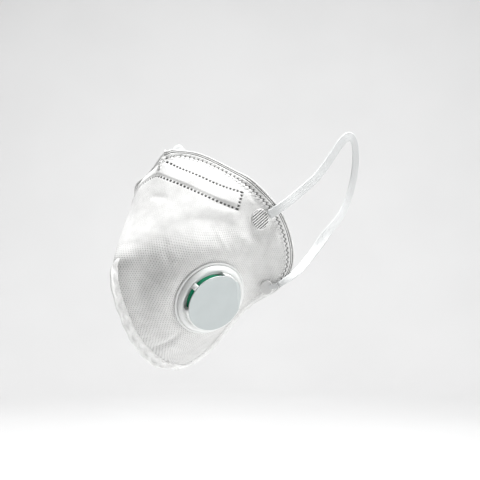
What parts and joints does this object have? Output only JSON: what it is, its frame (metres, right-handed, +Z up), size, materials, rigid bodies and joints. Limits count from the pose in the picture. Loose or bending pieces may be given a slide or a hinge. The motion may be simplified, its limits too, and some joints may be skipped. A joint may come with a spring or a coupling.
{
  "type": "valved dust mask",
  "caption": "Vertical-fold dust mask with layered nonwoven walls, a welded hem, nose wire, exhalation valve with a hinged rubber flap, and elastic ear loops.",
  "frame": {"origin": "middle of the face opening, where the wearer's face comes", "axes": "+X towards the wearer's left, where the valve is, +Y towards the face, +Z up"},
  "size_m": [0.151, 0.1599, 0.1561],
  "materials": {
    "outer_nonwoven": "point-bonded nonwoven, matt white",
    "filter_media": "melt-blown web, matt",
    "support_felt": "felted web, matt",
    "lining_nonwoven": "soft point-bonded nonwoven",
    "welded_edge": "nonwoven welded hard, with rows of embossed marks",
    "nose_wire_metal": "satin",
    "nose_foam": "open-cell foam, matt",
    "elastic_band": "flat knitted elastic, matt",
    "loop_weld": "welded flat, with slanted stripes",
    "valve_plastic": "semi-gloss moulded",
    "valve_cap_plastic": "semi-gloss moulded",
    "flap_rubber": "satin green"
  },
  "bodies": {
    "root": {"outer_cover": "outer_nonwoven", "filter_sheet": "filter_media", "support_sheet": "support_felt", "inner_lining": "lining_nonwoven", "hem_weld": "welded_edge", "chin_seam": "welded_edge", "nose_seam": "welded_edge", "nose_wire": "nose_wire_metal", "nose_foam": "nose_foam", "upper_loop_weld_left": "loop_weld", "lower_loop_weld_left": "loop_weld", "upper_loop_weld_right": "loop_weld", "lower_loop_weld_right": "loop_weld", "valve_base": "valve_plastic", "valve_cap": "valve_cap_plastic", "valve_backing_ring": "valve_plastic"},
    "flap": {"valve_flap": "flap_rubber"},
    "left_loop": {"ear_loop_left": "elastic_band"},
    "right_loop": {"ear_loop_right": "elastic_band"}
  },
  "joints": [
    {"name": "flap_hinge", "type": "hinge", "parent": "root", "child": "flap", "pos_m": [0.03909, -0.01703, -0.02211], "axis": [0.2362, -0.4167, 0.8778], "range_deg": [0, 6], "stiffness_Nm_per_rad": 0.002, "springref_deg": -5.73},
    {"name": "left_loop_swing", "type": "hinge", "parent": "root", "child": "left_loop", "pos_m": [0.05387, -0.00454, 0.02334], "axis": [-0.0327, 0.1955, -0.9802], "range_deg": [0, 110], "stiffness_Nm_per_rad": 0.01},
    {"name": "right_loop_swing", "type": "hinge", "parent": "root", "child": "right_loop", "pos_m": [-0.05387, -0.00454, 0.02334], "axis": [0.0336, -0.1764, 0.9837], "range_deg": [0, 110], "stiffness_Nm_per_rad": 0.01}
  ]
}
